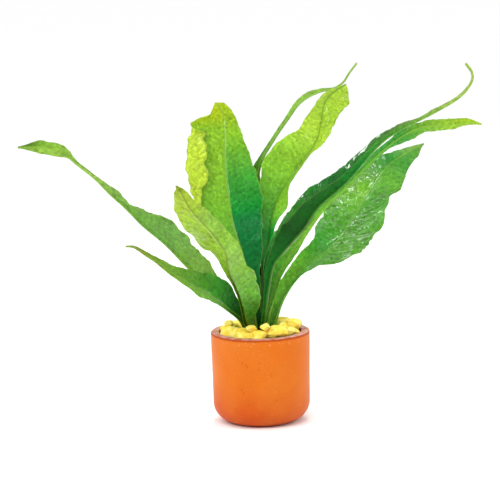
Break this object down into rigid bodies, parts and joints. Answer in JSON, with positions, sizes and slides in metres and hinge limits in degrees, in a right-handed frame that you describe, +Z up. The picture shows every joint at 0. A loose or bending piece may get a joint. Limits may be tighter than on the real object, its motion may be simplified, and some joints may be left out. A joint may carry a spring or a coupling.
{
  "type": "potted fern",
  "caption": "Young bird's nest fern with long strap-shaped, wavy fronds in a small round-footed terracotta pot, its soil dressed with rough yellow stones.",
  "frame": {"origin": "centre of the pot's base on the ground", "axes": "+Z up along the pot's axis, +X along the long spread of the fronds, -Y towards the side with the frond that leans out over the rim"},
  "size_m": [0.4591, 0.2133, 0.3602],
  "materials": {
    "terracotta": "matte unglazed terracotta with a faint sheen and fine pits",
    "potting_mix": "dark damp peat and bark mix",
    "crown": "dark brown scaly root stock",
    "leaf": "glossy green leaf, lit yellow-green where light comes through",
    "yellow_stone": "rough crumbly pale yellow stone"
  },
  "bodies": {
    "root": {"terracotta_pot": "terracotta", "potting_mix": "potting_mix", "crown": "crown", "frond_far_left": "leaf", "frond_low_left": "leaf", "frond_front_left": "leaf", "frond_tall_left": "leaf", "frond_back_slender": "leaf", "frond_tall_right": "leaf", "frond_long_right": "leaf", "frond_twisted_right": "leaf", "frond_broad_right": "leaf", "frond_hidden_back": "leaf", "frond_short_back": "leaf", "yellow_stone_01": "yellow_stone", "yellow_stone_02": "yellow_stone", "yellow_stone_03": "yellow_stone", "yellow_stone_04": "yellow_stone", "yellow_stone_05": "yellow_stone", "yellow_stone_06": "yellow_stone", "yellow_stone_07": "yellow_stone", "yellow_stone_08": "yellow_stone", "yellow_stone_09": "yellow_stone", "yellow_stone_10": "yellow_stone", "yellow_stone_11": "yellow_stone", "yellow_stone_12": "yellow_stone", "yellow_stone_13": "yellow_stone", "yellow_stone_14": "yellow_stone", "yellow_stone_15": "yellow_stone", "yellow_stone_16": "yellow_stone", "yellow_stone_17": "yellow_stone", "yellow_stone_18": "yellow_stone", "yellow_stone_19": "yellow_stone", "yellow_stone_20": "yellow_stone", "yellow_stone_21": "yellow_stone", "yellow_stone_22": "yellow_stone", "yellow_stone_23": "yellow_stone"}
  },
  "joints": []
}
